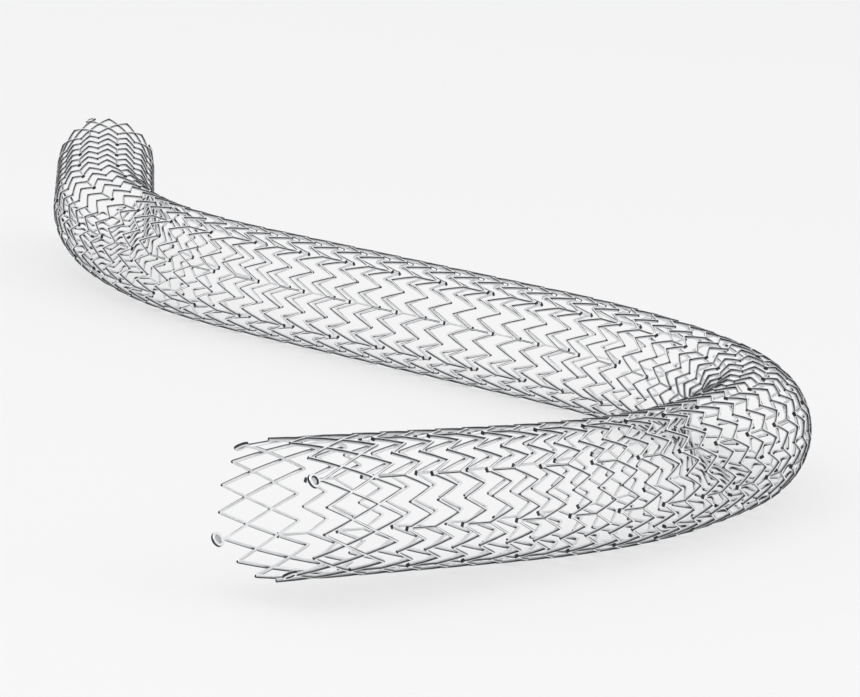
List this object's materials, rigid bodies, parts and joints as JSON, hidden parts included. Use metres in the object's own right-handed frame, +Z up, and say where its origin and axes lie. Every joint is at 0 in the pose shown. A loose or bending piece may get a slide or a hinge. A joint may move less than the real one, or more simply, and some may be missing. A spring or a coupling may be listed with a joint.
{
  "type": "vascular stent",
  "caption": "Self-expanding mesh tube of zigzag rings and short bridges, laid in a gentle S, that holds a blood vessel open.",
  "frame": {"origin": "on the surface it lies on, under the middle of its bounding box", "axes": "+X along the straight far leg, towards the far end; +Y towards the near end; +Z up from the surface it lies on"},
  "size_m": [0.1318, 0.0968, 0.0102],
  "materials": {
    "frame_metal": "electropolished nickel-titanium",
    "marker_metal": "satin tantalum"
  },
  "bodies": {
    "root": {"stent_frame": "frame_metal", "marker_near_1": "marker_metal", "marker_near_2": "marker_metal", "marker_near_3": "marker_metal", "marker_near_4": "marker_metal", "marker_far_1": "marker_metal", "marker_far_2": "marker_metal", "marker_far_3": "marker_metal", "marker_far_4": "marker_metal"}
  },
  "joints": []
}
